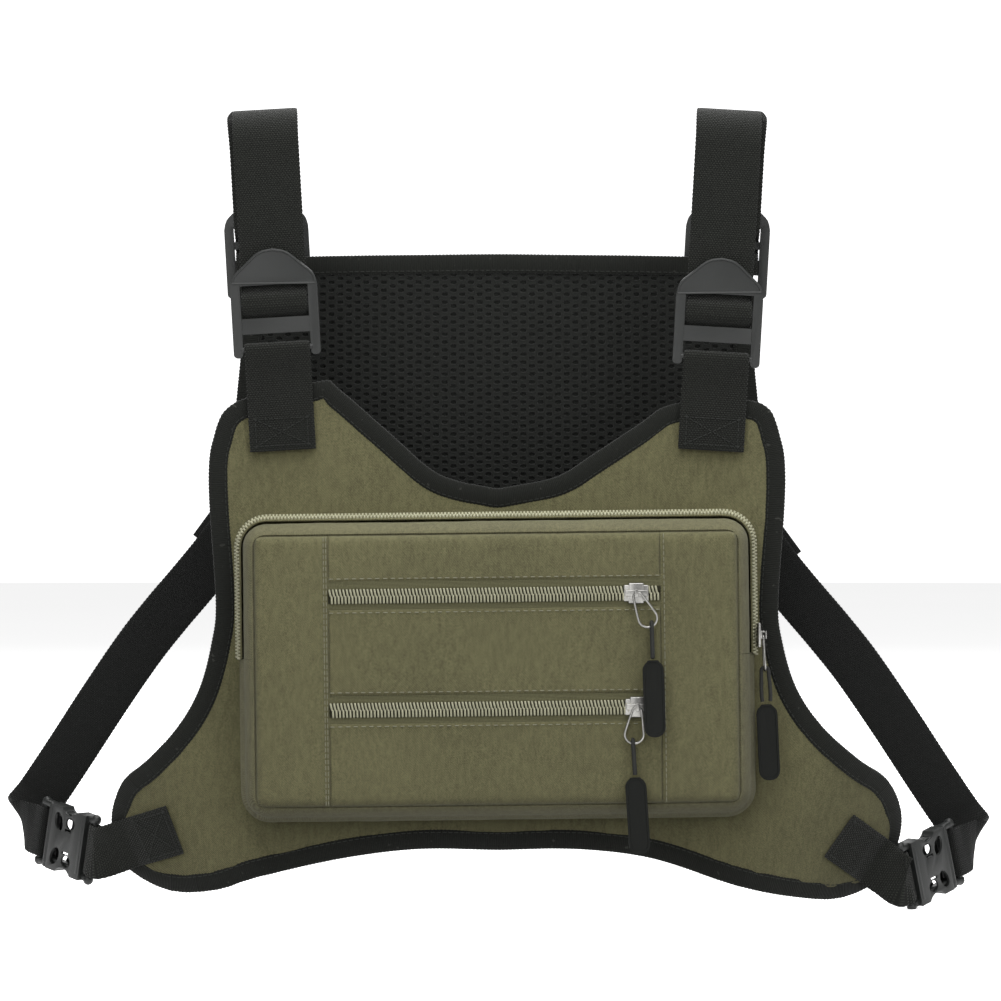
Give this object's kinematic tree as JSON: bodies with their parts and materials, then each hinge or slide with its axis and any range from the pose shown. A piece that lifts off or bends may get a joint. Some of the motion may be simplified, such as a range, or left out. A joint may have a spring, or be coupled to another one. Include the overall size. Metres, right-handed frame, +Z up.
{
  "type": "chest harness vest",
  "caption": "Chest harness vest: padded front panel with a zipped box pocket, mesh back panel, adjustable shoulder straps and side straps with side-release buckles.",
  "frame": {"origin": "midway between the two shoulder loops, at the height where they rest on the shoulders, in the plane of the front panel's lining", "axes": "+X to the right seen from the front (the wearer's left), +Y towards the wearer's back, +Z up"},
  "size_m": [0.5871, 0.1415, 0.4695],
  "materials": {
    "twill": "woven twill",
    "lining": "woven lining",
    "foam": "closed-cell foam sheet",
    "binding": "ribbed binding tape",
    "webbing": "ribbed webbing",
    "spacer_mesh": "open spacer mesh",
    "plastic": "fine satin mould texture",
    "zip": "zip tape and coil",
    "metal": "nickel plate",
    "cord": "braided cord",
    "rubber": "matt moulded rubber"
  },
  "bodies": {
    "vest": {"front_panel_lining": "lining", "front_panel_foam": "foam", "front_panel_shell": "twill", "front_panel_binding": "binding", "back_panel_mesh": "spacer_mesh", "back_panel_binding": "binding", "pocket_rear_gusset": "twill", "pocket_cover_lower": "twill", "main_zip_rear_half": "zip", "lower_zip_top_half": "zip", "lower_zip_bottom_half": "zip", "lower_pocket_bag": "lining", "left_front_loop_strap": "webbing", "left_back_loop_strap": "webbing", "left_shoulder_webbing": "webbing", "left_buckle_socket": "plastic", "left_wing_strap": "webbing", "left_side_strap": "webbing", "left_strap_anchor": "webbing", "right_front_loop_strap": "webbing", "right_back_loop_strap": "webbing", "right_shoulder_webbing": "webbing", "right_buckle_socket": "plastic", "right_wing_strap": "webbing", "right_side_strap": "webbing", "right_strap_anchor": "webbing"},
    "pocket_lid": {"pocket_cover_upper": "twill", "main_zip_front_half": "zip", "upper_zip_top_half": "zip", "upper_zip_bottom_half": "zip", "upper_pocket_bag": "lining"},
    "upper_slider_body": {"upper_slider": "metal"},
    "upper_pull": {"upper_pull_ring": "metal", "upper_pull_cord": "cord", "upper_pull_tag": "rubber"},
    "lower_slider_body": {"lower_slider": "metal"},
    "lower_pull": {"lower_pull_ring": "metal", "lower_pull_cord": "cord", "lower_pull_tag": "rubber"},
    "main_slider_body": {"main_slider": "metal"},
    "main_pull": {"main_pull_ring": "metal", "main_pull_cord": "cord", "main_pull_tag": "rubber"},
    "left_insert": {"left_buckle_insert": "plastic"},
    "left_upper_prong_arm": {"left_upper_prong": "plastic"},
    "left_lower_prong_arm": {"left_lower_prong": "plastic"},
    "left_front_lock": {"left_front_ladder_lock": "plastic"},
    "left_back_lock": {"left_back_ladder_lock": "plastic"},
    "right_insert": {"right_buckle_insert": "plastic"},
    "right_upper_prong_arm": {"right_upper_prong": "plastic"},
    "right_lower_prong_arm": {"right_lower_prong": "plastic"},
    "right_front_lock": {"right_front_ladder_lock": "plastic"},
    "right_back_lock": {"right_back_ladder_lock": "plastic"}
  },
  "joints": [
    {"name": "lid_fold", "type": "hinge", "parent": "vest", "child": "pocket_lid", "pos_m": [-0.00009, -0.0461, -0.316], "axis": [0.9999, 0, 0.0122], "range_deg": [0, 50]},
    {"name": "upper_slider_slide", "type": "slide", "parent": "pocket_lid", "child": "upper_slider_body", "axis": [-0.9999, 0, -0.0122], "range_m": [0, 0.161]},
    {"name": "upper_pull_swing", "type": "hinge", "parent": "upper_slider_body", "child": "upper_pull", "pos_m": [0.07898, -0.0505, -0.27963], "axis": [-0.9999, 0, -0.0122], "range_deg": [0, 50]},
    {"name": "lower_slider_slide", "type": "slide", "parent": "vest", "child": "lower_slider_body", "axis": [-0.9999, 0, -0.0122], "range_m": [0, 0.161]},
    {"name": "lower_pull_swing", "type": "hinge", "parent": "lower_slider_body", "child": "lower_pull", "pos_m": [0.07977, -0.0505, -0.34423], "axis": [-0.9999, 0, -0.0122], "range_deg": [0, 20]},
    {"name": "main_slider_slide", "type": "slide", "parent": "vest", "child": "main_slider_body", "axis": [-0.0122, 0, 0.9999], "range_m": [0, 0.032]},
    {"name": "main_pull_swing", "type": "hinge", "parent": "main_slider_body", "child": "main_pull", "pos_m": [0.15268, -0.0233, -0.30413], "axis": [0, -1, 0], "range_deg": [0, 100]},
    {"name": "left_insert_slide", "type": "slide", "parent": "vest", "child": "left_insert", "axis": [-0.728, 0.6555, 0.2011], "range_m": [0, 0.03], "deforming": ["left_side_strap"]},
    {"name": "left_upper_prong_squeeze", "type": "hinge", "parent": "left_insert", "child": "left_upper_prong_arm", "pos_m": [-0.2605, 0.04985, -0.41166], "axis": [0.6691, 0.7431, 0], "range_deg": [0, 8], "stiffness_Nm_per_rad": 0.2},
    {"name": "left_lower_prong_squeeze", "type": "hinge", "parent": "left_insert", "child": "left_lower_prong_arm", "pos_m": [-0.26476, 0.05368, -0.43958], "axis": [0.6691, 0.7431, 0], "range_deg": [-8, 0], "stiffness_Nm_per_rad": 0.2},
    {"name": "left_front_lock_tilt", "type": "hinge", "parent": "vest", "child": "left_front_lock", "pos_m": [-0.12697, -0.0081, -0.13927], "axis": [0.9983, 0, 0.0576], "range_deg": [0, 35], "deforming": ["left_shoulder_webbing"]},
    {"name": "left_back_lock_tilt", "type": "hinge", "parent": "vest", "child": "left_back_lock", "pos_m": [-0.13623, 0.0731, -0.10024], "axis": [-0.9983, 0, -0.0576], "range_deg": [0, 30], "deforming": ["left_shoulder_webbing"]},
    {"name": "right_insert_slide", "type": "slide", "parent": "vest", "child": "right_insert", "axis": [0.7147, 0.6435, 0.274], "range_m": [0, 0.03], "deforming": ["right_side_strap"]},
    {"name": "right_upper_prong_squeeze", "type": "hinge", "parent": "right_insert", "child": "right_upper_prong_arm", "pos_m": [0.26157, 0.04601, -0.42505], "axis": [0.6691, -0.7431, 0], "range_deg": [0, 8], "stiffness_Nm_per_rad": 0.2},
    {"name": "right_lower_prong_squeeze", "type": "hinge", "parent": "right_insert", "child": "right_lower_prong_arm", "pos_m": [0.26737, 0.05124, -0.45246], "axis": [0.6691, -0.7431, 0], "range_deg": [-8, 0], "stiffness_Nm_per_rad": 0.2},
    {"name": "right_front_lock_tilt", "type": "hinge", "parent": "vest", "child": "right_front_lock", "pos_m": [0.12665, -0.0081, -0.14476], "axis": [0.9983, 0, -0.0576], "range_deg": [0, 35], "deforming": ["right_shoulder_webbing"]},
    {"name": "right_back_lock_tilt", "type": "hinge", "parent": "vest", "child": "right_back_lock", "pos_m": [0.13623, 0.0731, -0.10024], "axis": [-0.9983, 0, 0.0576], "range_deg": [0, 30], "deforming": ["right_shoulder_webbing"]}
  ],
  "couplings": [
    {"joint": "upper_pull_swing", "follows": "lid_fold", "ratio": 1},
    {"joint": "left_lower_prong_squeeze", "follows": "left_upper_prong_squeeze", "ratio": -1},
    {"joint": "right_lower_prong_squeeze", "follows": "right_upper_prong_squeeze", "ratio": -1}
  ]
}
